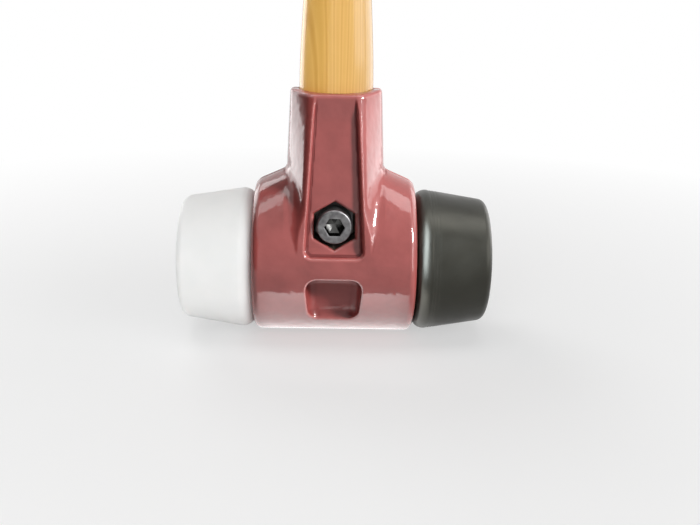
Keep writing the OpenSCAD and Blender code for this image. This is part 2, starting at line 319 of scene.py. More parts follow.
def socket_form(x, y, z):
    """Distance from the handle's room: an oval that tapers from root to mouth, and the tenon's slot. With s
    the share of the oval's size that a point lies out, the oval's distance is s (s - 1) over its slope."""
    t = (z - ROOT_Z) / (MOUTH_Z - ROOT_Z)
    half_x = mix(ROOT_HALF[0], MOUTH_HALF[0], t)
    half_y = mix(ROOT_HALF[1], MOUTH_HALF[1], t)
    share = np.hypot(x / half_x, y / half_y)
    oval = share * (share - 1) / np.maximum(np.hypot(x / half_x**2, y / half_y**2), 1e-4)
    oval = np.maximum(oval, ROOT_Z - HANDLE_CLEAR - z)
    slot = np.maximum(np.abs(x), np.abs(y)) - TENON_HALF
    slot = np.maximum(slot, np.maximum(TENON_Z - z, z - ROOT_Z - SLOT_OVERLAP))
    return np.minimum(oval, slot)


print("the handle's room narrows from", ROOT_HALF.round(2), "to", MOUTH_HALF.round(2), "mm from its middle")

# %% [markdown]
# ## The other cuts
# The same casting serves as both halves. Its hexagonal pocket takes the screw's head at the front and the
# nut at the back. Half of each insert's bore, a cored space that saves iron and the recess under the field
# complete it. Booleans could cut all this, but their rims would be sharp, and a painted casting's are not.

# %% Finished casting
HOLE_R = 5.5
POCKET_AF, POCKET_EDGE = 18.5, 1.5
BORE_R, BORE_WEB = 29.05, 15.0
CORE_HALF_T, CORE_LOW, CORE_HIGH = 20.5, -21.9, 6.0
RECESS_TOP, RECESS_LOW = 0.0, -22.4
RECESS_TOP_W, RECESS_LOW_W = 26.4, 22.8
RECESS_DEPTH, RECESS_CORNER, RECESS_DISH = 9.5, 5.5, 5.0
RIM_EDGE = 0.9


def hexagon(x, z, across_flats):
    """Distance from a hexagon about the screw's axis with corners above and below: the larger one of the
    distances from its upright and its slanting flats."""
    side, up = np.abs(x), np.abs(z - SCREW_Z)
    return np.maximum(side, side / 2 + up * math.sqrt(0.75)) - across_flats / 2


def casting_form(x, y, z):
    """Distance from the finished front half shell: the outer form without recess, pocket, bores, handle's
    room, core and hole, cut off at the parting."""
    side, front, h = np.abs(x), -y, z - AXIS_Z
    body = outer_form(x, y, z)
    recess_half = mix(RECESS_TOP_W, RECESS_LOW_W, (RECESS_TOP - h) / (RECESS_TOP - RECESS_LOW)) / 2
    outline = both(side - recess_half, h - RECESS_TOP, RECESS_CORNER)
    outline = both(outline, RECESS_LOW - h, RECESS_CORNER)
    body = without(body, both(outline, RING_R - RECESS_DEPTH - front, RECESS_DISH), RIM_EDGE)
    body = without(body, np.maximum(hexagon(x, z, POCKET_AF), SEAT_Y - front), POCKET_EDGE)
    body = without(body, np.maximum(np.hypot(y, h) - BORE_R, BORE_WEB - side), RIM_EDGE / 2)
    body = without(body, socket_form(x, y, z), RIM_EDGE / 2)
    core = np.maximum(side - TENON_HALF, front - CORE_HALF_T)
    core = np.maximum(core, np.maximum(CORE_LOW - h, h - CORE_HIGH))
    body = without(body, core, RIM_EDGE)
    body = without(body, np.hypot(x, z - SCREW_Z) - HOLE_R, RIM_EDGE / 2)
    return both(body, PARTING - front, RIM_EDGE / 2)


# %% [markdown]
# ## From the field to a mesh
# A grid of the field's values shows where the surface runs: through every cell that has corners on both
# sides of zero. Each such cell gets one vertex, at the mean of the places where its edges cross zero,
# and each crossed edge gets one four-sided face between its four cells. Metaballs and the Remesh modifier
# work in a like way, but neither takes a field of our own.

# %% Surface net
def surface_net(form, low, high, step):
    """Vertices and faces of the surface where a distance field is zero. An edge between the values a and b
    is crossed at the share a / (a - b) of its length, and a vertex is the mean of its cell's crossings."""
    axes = [np.arange(a, b + step, step) for a, b in zip(low, high)]
    value = form(*np.meshgrid(*axes, indexing="ij"))
    cells = tuple(n - 1 for n in value.shape)
    count = np.zeros(cells, np.int8)
    total = np.zeros(cells + (3,), np.float32)
    crossings = []
    for axis in range(3):
        line = np.moveaxis(value, axis, 0)
        here, there = line[:-1], line[1:]
        crossed = (here < 0) != (there < 0)
        share = np.where(crossed, here / np.where(crossed, here - there, 1), 0)
        crossings.append((crossed, here < 0))
        others = [a for a in range(3) if a != axis]
        size = [cells[a] for a in others]
        for du in (0, 1):
            for dv in (0, 1):
                part = np.s_[:, du:du + size[0], dv:dv + size[1]]
                count += np.moveaxis(crossed[part], 0, axis)
                total[..., axis] += np.moveaxis(share[part], 0, axis)
                total[..., others[0]] += np.moveaxis(crossed[part], 0, axis) * du
                total[..., others[1]] += np.moveaxis(crossed[part], 0, axis) * dv
    used = count > 0
    number = np.full(cells, -1, np.int64)
    number[used] = np.arange(used.sum())
    points = np.argwhere(used) + total[used] / count[used][:, None]
    points = points * step + np.array([a[0] for a in axes])
    faces = []
    for axis, (crossed, starts_inside) in enumerate(crossings):
        cell = np.moveaxis(number, axis, 0)
        ring = np.stack([cell[:, :-1, :-1], cell[:, 1:, :-1], cell[:, 1:, 1:], cell[:, :-1, 1:]], axis=-1)
        inner = np.s_[:, 1:-1, 1:-1]
        flip = starts_inside[inner] == (axis == 1)
        ring = np.where(flip[..., None], ring[..., ::-1], ring)
        faces.append(ring[crossed[inner]])
    return points, np.concatenate(faces)


# %% [markdown]
# ### On to the true surface
# Such a net shows the steps of its grid. Smoothing it would wear the edges down, so a few Newton steps
# along the field's slope put every vertex on the true surface instead. The differences that give the slope
# also tell how sharply the surface bends, which the paint needs later.

# %% Slope, bend and settling
SETTLE_ROUNDS, SETTLE_REACH = 4, 0.02
LEAST_SLOPE = 0.5


def slope_and_bend(form, points, reach):
    """The field's value, its slope and the sum of its second derivatives, by differences over reach."""
    value = form(*points.T)
    slope = np.zeros_like(points)
    bend = -6 * value
    for axis in range(3):
        ahead, behind = points.copy(), points.copy()
        ahead[:, axis] += reach
        behind[:, axis] -= reach
        more, less = form(*ahead.T), form(*behind.T)
        slope[:, axis] = (more - less) / (2 * reach)
        bend += more + less
    return value, slope, bend / reach**2


def settled(form, points, step):
    """The points moved along the field's slope to where its value is zero, each time by the value over the
    square of the slope's length."""
    for _ in range(SETTLE_ROUNDS):
        value, slope, _ = slope_and_bend(form, points, SETTLE_REACH)
        move = value / np.maximum((slope**2).sum(1), LEAST_SLOPE**2)
        points = points - np.clip(move, -step / 2, step / 2)[:, None] * slope
    return points


# %% [markdown]
# ## The two half shells
# The front half is made from the field once, and the rear one is the same casting turned half round the
# handle. The object could be turned for that, but a piece's place belongs in its mesh, so its points are.
# Three attributes go with the mesh for its paint: how sharply the surface bends, from the field's second
# derivatives, where the screw's pocket is, and how deep a point lies in the recess. The enamel uses them
# for its pale edges and to paint shade into inner corners, the pocket and the recess.

# %% Make the half shells
NET_STEP = 0.62
MARGIN = 1.2
BEND_REACH = 0.7
SKIN_DEPTH, RECESS_SHADE_DEPTH = 0.8, 5.0
POCKET_SPARE = 1.0
shell_points, shell_faces = surface_net(
    casting_form, shell_low - MARGIN, shell_high + MARGIN, NET_STEP)
shell_points = settled(casting_form, shell_points, NET_STEP)
shell_off, _, shell_bend = slope_and_bend(casting_form, shell_points, BEND_REACH)
print("largest distance of the net from the true surface:", round(np.abs(shell_off).max(), 4), "mm")
shell_x, _, shell_z = shell_points.T
under_skin = -outer_form(*shell_points.T)
# mask for the painted shade in the screw's pocket
pocket_deep = (hexagon(shell_x, shell_z, POCKET_AF + POCKET_SPARE) < 0) & (under_skin > SKIN_DEPTH)
# painted shade in the recess, growing with how deep a point lies
recess_deep = smooth_step(SKIN_DEPTH, RECESS_SHADE_DEPTH, under_skin)
recess_deep *= (shell_z < AXIS_Z) & (np.abs(shell_x) < RECESS_TOP_W / 2)


def half_shell(name, turn, body, node):
    """A half shell, turned about the handle's axis by half a turn if turn is -1."""
    points = shell_points * np.array([turn, turn, 1])
    piece = new_piece(name, points, shell_faces.tolist(), body, node)
    for title, values in (("bend", shell_bend), ("pocket", pocket_deep), ("recess", recess_deep)):
        layer = piece.data.attributes.new(title, "FLOAT", "POINT")
        layer.data.foreach_set("value", values.astype(np.float32))
    return piece


front_half = half_shell("cast_half_front", 1, "head", "front_housing")
rear_half = half_shell("cast_half_rear", -1, "rear_clamp", "rear_housing")

# %% [markdown]
# ## The handle
# The handle is one piece of wood: a square tenon for the screw, a flared root that cannot pull out of the
# neck, a waist, a fuller grip and a rounded end. Box modelling under a Subdivision Surface could draw it,
# but its sections are known: an ellipse above, and a square with softened corners at the tenon. So all of
# it is one turned grid whose radius depends on the angle.

# %% Sections of the handle
HANDLE_COLUMNS = 128
WAIST_Z, GRIP_Z = MOUTH_Z + 65, handle_high[2] - 62
STATIONS = [(MOUTH_Z, MOUTH_SIZE), (WAIST_Z, (29.0, 23.0)), (GRIP_Z, (36.0, 28.0)),
            (handle_high[2], (33.0, 26.0))]


def oval_half(z):
    """Half width and half thickness of the handle at heights z, eased from station to station."""
    t = (z - ROOT_Z) / (MOUTH_Z - ROOT_Z)
    half = mix(2 * handle_high[:2], MOUTH_SIZE, t[:, None]) / 2
    for (z0, low), (z1, high) in zip(STATIONS, STATIONS[1:]):
        share = smooth_step(z0, z1, z)[:, None]
        here = (z >= z0)[:, None]
        half = np.where(here, mix(np.array(low), np.array(high), share) / 2, half)
    return half


def polar_oval(half, power):
    """Radius at each column of the curve |x/a|^power + |y/b|^power = 1: an ellipse for a power of 2."""
    angle = np.linspace(0, 2 * np.pi, HANDLE_COLUMNS, endpoint=False)
    share = np.abs(np.cos(angle) / half[:, :1])**power + np.abs(np.sin(angle) / half[:, 1:])**power
    return share**(-1 / power)


print("widths up the handle:", (2 * oval_half(np.array([z for z, _ in STATIONS]))[:, 0]).round(1).tolist())

# %% [markdown]
# ### Rows of the handle
# The rows run from the tenon's chamfered end over the root's rounded step and up the body to the butt,
# which is drawn in along a quarter circle. A Bevel modifier could round these edges too, but rows that
# follow the curve keep the grid even.

# %% Make the handle
BUTT_EDGE, ROOT_EDGE = 6.0, 1.2
TENON_CHAMFER = np.array([(0.0, 1.5), (0.3, 0.5), (1.3, 0.0)])
SOFT_SQUARE = 14
tenon_z = np.append(handle_low[2] + TENON_CHAMFER[:, 0], ROOT_Z)
tenon_half = TENON_HALF - HANDLE_CLEAR - np.append(TENON_CHAMFER[:, 1], 0)
root_curve = np.linspace(0, np.pi / 2, 5)
root_z = ROOT_Z + ROOT_EDGE * (1 - np.cos(root_curve))
root_in = ROOT_EDGE * (1 - np.sin(root_curve))
body_z = np.linspace(ROOT_Z + 2, handle_high[2] - BUTT_EDGE, 180)
butt_curve = np.linspace(0, np.pi / 2, 12)[1:]
butt_z = handle_high[2] - BUTT_EDGE * (1 - np.sin(butt_curve))
butt_in = BUTT_EDGE * (1 - np.cos(butt_curve))
oval_z = np.concatenate([root_z, body_z, butt_z])
drawn_in = np.concatenate([root_in, np.zeros(len(body_z)), butt_in])
handle_radius = np.vstack([polar_oval(np.stack([tenon_half, tenon_half], axis=1), SOFT_SQUARE),
                           polar_oval(oval_half(oval_z) - drawn_in[:, None], 2)])
handle_along = np.concatenate([tenon_z, oval_z])
points, faces = turned(handle_along, handle_radius, (0, 0, 0), (0, 0, 1), (1, 0, 0))
handle = new_piece("wooden_handle", points, faces, "head", "handle")

# %% [markdown]
# ### The screw's hole
# The screw passes through the tenon. A hole across the rows can't be a radius of the same grid, so a
# boolean makes this one cut, and its result becomes the handle's mesh.

# %% Drill the handle
DRILL_HALF, DRILL_COLUMNS = 12, 48


def drilled(piece, points, faces):
    """The piece with the solid of those points and faces taken out of it."""
    mesh = bpy.data.meshes.new("drill")
    mesh.from_pydata(np.asarray(points) * MM, [], faces)
    drill = bpy.data.objects.new("drill", mesh)
    bpy.context.scene.collection.objects.link(drill)
    cut = piece.modifiers.new("hole", "BOOLEAN")
    cut.operation = "DIFFERENCE"
    cut.solver = "EXACT"
    cut.object = drill
    result = bpy.data.meshes.new_from_object(piece.evaluated_get(bpy.context.evaluated_depsgraph_get()))
    piece.modifiers.clear()
    piece.data = result
    bpy.data.objects.remove(drill)
    print(piece.name, "drilled, now", len(result.polygons), "faces")


drill_y = np.linspace(-DRILL_HALF, DRILL_HALF, 5)
drill_radius = np.full((len(drill_y), DRILL_COLUMNS), HOLE_R)
drilled(handle, *turned(drill_y, drill_radius, (0, 0, SCREW_Z), (0, 1, 0), (1, 0, 0)))

# %% [markdown]
# ## The striking inserts
# Both inserts come from the same mould shape: a stub that the housing grips, a rounded shoulder, a side
# that tapers a little and a slightly domed face with a rounded edge. A bevelled cylinder would come near,
# but arcs that touch each other give the soft shoulder its exact curve. They are walked in even steps.

# %% Outline of an insert
STUB_R, STUB_LEN, STUB_CHAMFER = 29.0, 22.0, 3.5
SHOULDER_C, SHOULDER_R = np.array([28.0, 6.0]), 6.0
EDGE_C, EDGE_R = np.array([26.0, 31.2]), 4.0
DOME_H = 1.3
POLE_R = 0.5
REACH = insert_high[0] - HALF_LENGTH


def arc(centre, radius, start, stop, count=24):
    """Points of an arc about a centre, between two angles in radians."""
    angle = np.linspace(start, stop, count)
    return centre + radius * np.stack([np.cos(angle), np.sin(angle)], axis=1)


def even_steps(outline, step):
    """The outline walked again in even steps."""
    length = np.concatenate([[0], np.cumsum(np.linalg.norm(np.diff(outline, axis=0), axis=1))])
    place = np.linspace(0, length[-1], int(length[-1] / step) + 1)
    return np.stack([np.interp(place, length, outline[:, k]) for k in (0, 1)], axis=1)


def insert_outline():
    """Radius and distance out of the housing, from the stub's inner end to the middle of the face. The side
    is the line that touches the shoulder's and the edge's arc, and the dome's arc touches the edge's."""
    reach = EDGE_C - SHOULDER_C
    side_turn = math.atan2(-reach[0], reach[1]) + math.asin((SHOULDER_R - EDGE_R) / np.linalg.norm(reach))
    dome_r = (EDGE_C[0]**2 + (DOME_H + EDGE_R)**2 - EDGE_R**2) / (2 * DOME_H)
    dome_c = np.array([0, REACH - dome_r])
    dome_turn = math.atan2(*(EDGE_C - dome_c)[::-1])
    stub = np.array([[POLE_R, -STUB_LEN], [STUB_R - STUB_CHAMFER, -STUB_LEN],
                     [STUB_R, STUB_CHAMFER - STUB_LEN]])
    shoulder_turn = -math.acos((STUB_R - SHOULDER_C[0]) / SHOULDER_R)
    last = math.pi / 2 - POLE_R / dome_r
    return np.vstack([stub, arc(SHOULDER_C, SHOULDER_R, shoulder_turn, side_turn),
                      arc(EDGE_C, EDGE_R, side_turn, dome_turn), arc(dome_c, dome_r, dome_turn, last)])


insert_wide = 2 * insert_outline()[:, 0].max()
print("an insert stands out by", round(REACH, 1), "mm and is", round(insert_wide, 1), "mm wide")

# %% [markdown]
# ### Turning the inserts
# The outline is turned round the head's axis. The black insert shows fine rings near its shoulder, where
# the rubber flowed into its mould, and the white one has a single faint ring there. A bump map could draw
# them, but as grooves in the mesh they also take part in an export.

# %% Make the inserts
INSERT_COLUMNS, OUTLINE_STEP = 192, 0.45
WHITE_RINGS = ((4.7, 0.4, 0.08),)
BLACK_RINGS = ((1.5, 0.3, 0.2), (7.6, 0.4, 0.22), (8.8, 0.35, 0.17), (10.2, 0.3, 0.13))


def ring_depth(out, rings):
    """How far smooth rings lie under the skin, by the distance out of the housing. A ring is a bell curve
    with a place, a width and a depth."""
    return sum(depth * np.exp(-((out - place) / width)**2) for place, width, depth in rings)


def make_insert(name, way, rings, body, node):
    """An insert that points along way times X, with fine rings pressed into the part that shows."""
    outline = even_steps(insert_outline(), OUTLINE_STEP)
    radius = outline[:, 0] - ring_depth(outline[:, 1], rings) * (outline[:, 1] > 0)
    rows = np.broadcast_to(radius[:, None], (len(radius), INSERT_COLUMNS))
    points, faces = turned(outline[:, 1], rows, (way * HALF_LENGTH, 0, AXIS_Z), (way, 0, 0), (0, 0, 1))
    return new_piece(name, points, faces, body, node)


white_insert = make_insert("white_face_insert", -1, WHITE_RINGS, "white_face", "white_insert")
black_insert = make_insert("black_face_insert", 1, BLACK_RINGS, "black_face", "black_insert")

# %% [markdown]
# ## The clamp screw
# A socket head screw is turned work with three things cut round it: the hexagon of the key, the fine
# grip on the head's side and the thread. Booleans and a Screw modifier could make them one by one, but
# each is only a radius that also depends on the angle, so one grid holds them all.

# %% Hexagon and thread
SCREW_COLUMNS = 240
PITCH, THREAD_DEPTH = 1.5, 0.85
THREAD_STEP = 0.15
screw_angle = np.linspace(0, 2 * np.pi, SCREW_COLUMNS, endpoint=False)


def hexagon_radius(across_flats, first_flat):
    """Radius of a hexagon at each column, with a flat's middle at the angle first_flat: half the size over
    the cosine of the angle from the nearest flat's middle."""
    turn = (screw_angle - first_flat + np.pi / 6) % (np.pi / 3) - np.pi / 6
    return across_flats / 2 / np.cos(turn)


def thread_cut(along):
    """How deep the thread lies under its crest: a rounded zigzag that climbs one pitch a turn."""
    phase = (np.reshape(along, (-1, 1)) / PITCH - screw_angle / (2 * np.pi)) % 1
    return THREAD_DEPTH * smooth_step(0.08, 0.5, np.abs(phase - 0.5))


print("the thread climbs", PITCH, "mm a turn and is", THREAD_DEPTH, "mm deep")

# %% [markdown]
# ### Rows of the screw
# The rows run from the bottom of the socket up its wall, over the head's face and rim, down the side with
# its grip, under the head and along the thread to the tip. Each is a place on the axis and a radius for
# every column.

# %% Make the screw
HEAD_R = round(screw_high[0], 1)
HEAD_FACE, HEAD_SEAT = screw_low[1], -SEAT_Y
HEAD_EDGE, FACE_R = 0.9, HEAD_R - 1.1
TIP_Y = screw_high[1]
KEY_AF, KEY_DEPTH, KEY_CONE = 8.0, 5.0, 1.35
KEY_MOUTH = 1.06
GRIP_DEPTH, GRIP_WAVES = 0.16, 30
SHANK_R, SEAT_R = 4.95, 5.6
THREAD_START = (-4.0, 0.0)
circle = np.ones(SCREW_COLUMNS)
key_hex = hexagon_radius(KEY_AF, 0)
key_foot = HEAD_FACE + KEY_DEPTH
key_rows = [(key_foot + KEY_CONE, 0.4 * circle), (key_foot + 0.1, 0.96 * key_hex), (key_foot, key_hex),
            (HEAD_FACE + 0.5, key_hex), (HEAD_FACE + 0.2, 1.02 * key_hex),
            (HEAD_FACE, KEY_MOUTH * key_hex)]
face_rows = [(HEAD_FACE, mix(KEY_MOUTH * key_hex, FACE_R * circle, t)) for t in (0.15, 0.4, 0.7, 0.97)]
rim_rows = [(HEAD_FACE + HEAD_EDGE * (1 - math.cos(a)), (HEAD_R - HEAD_EDGE * (1 - math.sin(a))) * circle)
            for a in np.linspace(0, np.pi / 2, 6)]
grip = GRIP_DEPTH * (1 - np.abs(np.cos(GRIP_WAVES * screw_angle)))
side_rows = [(HEAD_FACE + 1.2, HEAD_R - 0.3 * grip), (HEAD_FACE + 1.7, HEAD_R - grip),
             (HEAD_SEAT - 1.2, HEAD_R - grip), (HEAD_SEAT - 0.7, HEAD_R - 0.3 * grip),
             (HEAD_SEAT - 0.3, HEAD_R * circle), (HEAD_SEAT, (HEAD_R - 0.3) * circle),
             (HEAD_SEAT, SEAT_R * circle)]
thread_y = np.arange(HEAD_SEAT + 0.5, TIP_Y - 1.2, THREAD_STEP)
start = smooth_step(*THREAD_START, thread_y)[:, None]
thread_rows = list(zip(thread_y, SHANK_R - start * thread_cut(thread_y)))
tip_rows = [(TIP_Y - 1.0, (SHANK_R - 0.5) * circle), (TIP_Y - 0.3, (SHANK_R - 0.9) * circle),
            (TIP_Y, (SHANK_R - 1.3) * circle), (TIP_Y, circle)]
screw_rows = key_rows + face_rows + rim_rows + side_rows + thread_rows + tip_rows
screw_along, screw_radius = (np.array(column) for column in zip(*screw_rows))
points, faces = turned(screw_along, screw_radius, (0, 0, SCREW_Z), (0, 1, 0), (0, 0, 1))
screw = new_piece("socket_head_screw", points, faces, "screw", "clamp_screw")

# %% [markdown]
# ### The socket's painted shade
# The inside of the socket is darkened as a painted shade, and its steel is smoother. A second material
# could show that, but with a hard border, so the vertices of the socket get an attribute that the steel's
# shader
# reads: the rows of its wall and the tip of its cone, which is the first pole.

# %% Mark the socket
SOCKET_ROWS, FIRST_POLE = 4, -2
in_socket = np.zeros(len(screw.data.vertices), np.float32)
in_socket[:SOCKET_ROWS * SCREW_COLUMNS] = 1
in_socket[FIRST_POLE] = 1
screw.data.attributes.new("socket", "FLOAT", "POINT").data.foreach_set("value", in_socket)
print(int(in_socket.sum()), "vertices lie in the socket")

# %% [markdown]
# ## The nut
# The nut in the rear pocket is a hexagon with chamfered corners and a threaded bore. A cylinder of six
# sides with a boolean would do, but the screw's formulas for a hexagon and a thread are at hand. Its rows
# run along the outside and come back through the bore, so the grid closes on itself and has no poles.

# %% Make the nut
NUT_AF = 2 * round(nut_high[0], 1)
NUT_Y, NUT_TOP = nut_low[1], nut_high[1]
NUT_FACE_IN, NUT_CHAMFER_SLOPE = 0.15, 1.8
NUT_BORE_R, NUT_THREAD_DEPTH = 5.0, 0.25
NUT_MOUTH_R, NUT_MOUTH_LEN = 5.7, 0.5
nut_hex = hexagon_radius(NUT_AF, np.pi / 2)
outer_y = np.linspace(NUT_Y, NUT_TOP, 25)
from_end = np.minimum(outer_y - NUT_Y, NUT_TOP - outer_y)[:, None]
outer_rows = np.minimum(nut_hex, NUT_AF / 2 - NUT_FACE_IN + from_end * NUT_CHAMFER_SLOPE)
bore_y = np.arange(NUT_TOP - NUT_MOUTH_LEN - 0.1, NUT_Y + NUT_MOUTH_LEN + 0.1, -THREAD_STEP)
bore_rows = NUT_BORE_R + NUT_THREAD_DEPTH * thread_cut(bore_y) / THREAD_DEPTH
mouth_rows = [NUT_MOUTH_R * circle[None], (NUT_BORE_R + NUT_THREAD_DEPTH) * circle[None]]
nut_along = np.concatenate([outer_y, [NUT_TOP, NUT_TOP - NUT_MOUTH_LEN], bore_y,
                            [NUT_Y + NUT_MOUTH_LEN, NUT_Y]])
nut_radius = np.vstack([outer_rows, *mouth_rows, bore_rows, *mouth_rows[::-1]])
points, faces = turned(nut_along, nut_radius, (0, 0, SCREW_Z), (0, 1, 0), (0, 0, 1), poles=False)
nut = new_piece("hexagon_nut", points, faces, "rear_clamp", "hex_nut")

# %% [markdown]
# ## Finishes
# Every finish is a Principled shader with a few noise textures on the piece's own coordinates, so that it
# needs no picture and no unwrapping. Colours are written as they look on a screen and turned into the
# linear values that the shader works with.

# %% Materials and nodes
def screen_colour(red, green, blue):
    """Linear colour of a screen colour given in steps of 255, by the sRGB curve."""
    share = np.array([red, green, blue]) / 255
    linear = np.where(share <= 0.04045, share / 12.92, ((share + 0.055) / 1.055)**2.4)
    return (*linear.tolist(), 1.0)


def add(tree, kind, inputs=None, **settings):
    """A new shader node. An input is a plain value or another node's output to link."""
    made = tree.nodes.new(kind)
    for title, value in settings.items():
        setattr(made, title, value)
    for title, value in (inputs or {}).items():
        if isinstance(value, bpy.types.NodeSocket):
            tree.links.new(value, made.inputs[title])
        else:
            made.inputs[title].default_value = value
    return made


def new_finish(name, **values):
    """A material with one Principled shader, and the place vector of its textures."""
    material = bpy.data.materials.new(name)
    material.use_nodes = True
    tree = material.node_tree
    tree.nodes.clear()
    shader = add(tree, "ShaderNodeBsdfPrincipled", values)
    output = add(tree, "ShaderNodeOutputMaterial")
    tree.links.new(shader.outputs["BSDF"], output.inputs["Surface"])
    place = add(tree, "ShaderNodeTexCoord").outputs["Object"]
    return material, tree, shader, place


def dress(piece, material):
    """Gives a piece its finish."""
    piece.data.materials.clear()
    piece.data.materials.append(material)
    print(piece.name, "is dressed in", material.name)


# %% [markdown]
# ### Patterns
# Node trees are hard to read as code, so each helper places one kind of node and returns its output. A
# finish then reads like a sum: a noise goes into a ramp, and the ramp's colour into a blend.

# %% Patterns
def noise(tree, place, size_mm, detail=2.0, stretch=(1, 1, 1)):
    """Noise with features of about size_mm, drawn out along an axis where stretch is above 1."""
    scale = [1 / (size_mm * MM * s) for s in stretch]
    mapped = add(tree, "ShaderNodeMapping", {"Vector": place, "Scale": scale})
    made = add(tree, "ShaderNodeTexNoise", {"Vector": mapped.outputs[0], "Scale": 1.0, "Detail": detail})
    return made.outputs["Fac"]


def ramp(tree, value, *stops):
    """Colour ramp: each stop is a place from 0 to 1 and a colour."""
    made = add(tree, "ShaderNodeValToRGB", {"Fac": value})
    elements = made.color_ramp.elements
    elements[0].position, elements[0].color = stops[0]
    elements[1].position, elements[1].color = stops[-1]
    for position, colour in stops[1:-1]:
        elements.new(position).color = colour
    return made.outputs["Color"]


def blend(tree, share, first, second):
    """Colour mix by a share."""
    made = add(tree, "ShaderNodeMix", {0: share, 6: first, 7: second}, data_type="RGBA")
    return made.outputs[2]


def span(tree, value, low, high, to_low=0.0, to_high=1.0):
    """A value brought from one range to another, and kept inside it."""
    made = add(tree, "ShaderNodeMapRange", {"Value": value, "From Min": low, "From Max": high,
                                            "To Min": to_low, "To Max": to_high})
    return made.outputs["Result"]


def maths(tree, operation, *values):
    """The result of one Math node."""
    return add(tree, "ShaderNodeMath", dict(enumerate(values)), operation=operation).outputs[0]


def attribute(tree, title):
    """A mesh attribute as a value."""
    return add(tree, "ShaderNodeAttribute", attribute_name=title).outputs["Fac"]


def bumps(tree, *layers):
    """Bump layers on top of each other: each is a height, its depth in millimetres and a strength."""
    normal = None
    for height, depth_mm, strength in layers:
        inputs = {"Height": height, "Distance": depth_mm * MM, "Strength": strength}
        if normal is not None:
            inputs["Normal"] = normal
        normal = add(tree, "ShaderNodeBump", inputs).outputs["Normal"]
    return normal


# %% [markdown]
# ### Oxblood enamel
# The casting is dipped in a thick dark red enamel. The paint shows the sand's slow waves under a clear
# gloss and runs thin and pale over the edges. Inner corners and the recess get a painted shade and a duller
# gloss, and the pocket of the screw a painted shade that is nearly black. All this could be painted on by
# hand, but the attributes that came with the mesh already know where edges and corners are.

# %% Enamel
enamel, tree, shader, place = new_finish(
    "oxblood_enamel", **{"Roughness": 0.4, "Specular IOR Level": 0.15, "Coat Weight": 1.0,
                         "Coat Roughness": 0.09, "Coat IOR": 1.5})
bend, pocket, recess = (attribute(tree, title) for title in ("bend", "pocket", "recess"))
cloud = noise(tree, place, 14, 3)
red = ramp(tree, cloud, (0.3, screen_colour(134, 61, 58)), (0.7, screen_colour(151, 72, 69)))
red = blend(tree, span(tree, bend, 0.15, 0.9, 0.0, 0.35), red, screen_colour(176, 96, 92))
# painted shade: inner corners are darkened
red = blend(tree, span(tree, bend, -0.12, -0.6, 0.0, 0.55), red, screen_colour(62, 18, 22))
# painted shade: the recess is darkened with its depth
red = blend(tree, span(tree, recess, 0, 1, 0.0, 0.15), red, screen_colour(74, 28, 28))
# painted shade: the screw's pocket is nearly black
red = blend(tree, pocket, red, screen_colour(62, 52, 46))
tree.links.new(red, shader.inputs["Base Color"])
recess_gloss = span(tree, recess, 0, 1, 1.0, 0.3)
corner_gloss = span(tree, bend, -0.12, -0.5, 1.0, 0.1)
tree.links.new(maths(tree, "MULTIPLY", recess_gloss, corner_gloss), shader.inputs["Coat Weight"])
waves = bumps(tree, (noise(tree, place, 5.5, 1), 0.28, 0.8), (noise(tree, place, 1.6, 2), 0.06, 0.6))
tree.links.new(waves, shader.inputs["Normal"])
tree.links.new(waves, shader.inputs["Coat Normal"])
dress(front_half, enamel)
dress(rear_half, enamel)

# %% [markdown]
# ### Lacquered wood
# The handle is straight-grained pale wood under golden lacquer. Wood is layered like a rolled sheet, so
# the distance from a line beside the handle, a little disturbed, gives streaks along the sides and curved
# rings on the end, where a picture wrapped round the handle would fail. Short dark pores follow the grain.

# %% Wood
HEARTWOOD = (31 * MM, 22 * MM, 0)
GRAIN_STEP, GRAIN_DRIFT = 3.2 * MM, 12 * MM
wood, tree, shader, place = new_finish(
    "golden_wood", **{"Roughness": 0.42, "Coat Weight": 0.75, "Coat Roughness": 0.1, "Coat IOR": 1.5})
drift = noise(tree, place, 30, 2, (1, 1, 6))
shifted = add(tree, "ShaderNodeMapping", {"Vector": place, "Location": HEARTWOOD, "Scale": (1, 1, 0.02)})
distance = add(tree, "ShaderNodeVectorMath", {0: shifted.outputs[0]}, operation="LENGTH")
layered = maths(tree, "MULTIPLY_ADD", drift, GRAIN_DRIFT, distance.outputs["Value"])
layers = maths(tree, "SINE", maths(tree, "MULTIPLY", layered, 2 * math.pi / GRAIN_STEP))
gold = ramp(tree, span(tree, layers, -1, 1), (0.0, screen_colour(220, 171, 86)),
            (0.75, screen_colour(228, 181, 96)), (1.0, screen_colour(214, 163, 79)))
streak = noise(tree, place, 1.6, 3, (1, 1, 40))
gold = blend(tree, span(tree, streak, 0.42, 0.7, 0.0, 0.2), gold, screen_colour(208, 148, 64))
pores = noise(tree, place, 0.5, 1, (1, 1, 26))
gold = blend(tree, span(tree, pores, 0.68, 0.78, 0.0, 0.16), gold, screen_colour(186, 116, 44))
tree.links.new(gold, shader.inputs["Base Color"])
tree.links.new(bumps(tree, (streak, 0.02, 0.3), (pores, 0.01, 0.2)), shader.inputs["Normal"])
dress(handle, wood)

# %% [markdown]
# ### White plastic
# The hard insert is a pale, slightly waxy plastic. A plain white would look like chalk. Light goes a
# little way into the plastic, so it gets a short subsurface reach, and a very fine mould grain breaks up
# its sheen.

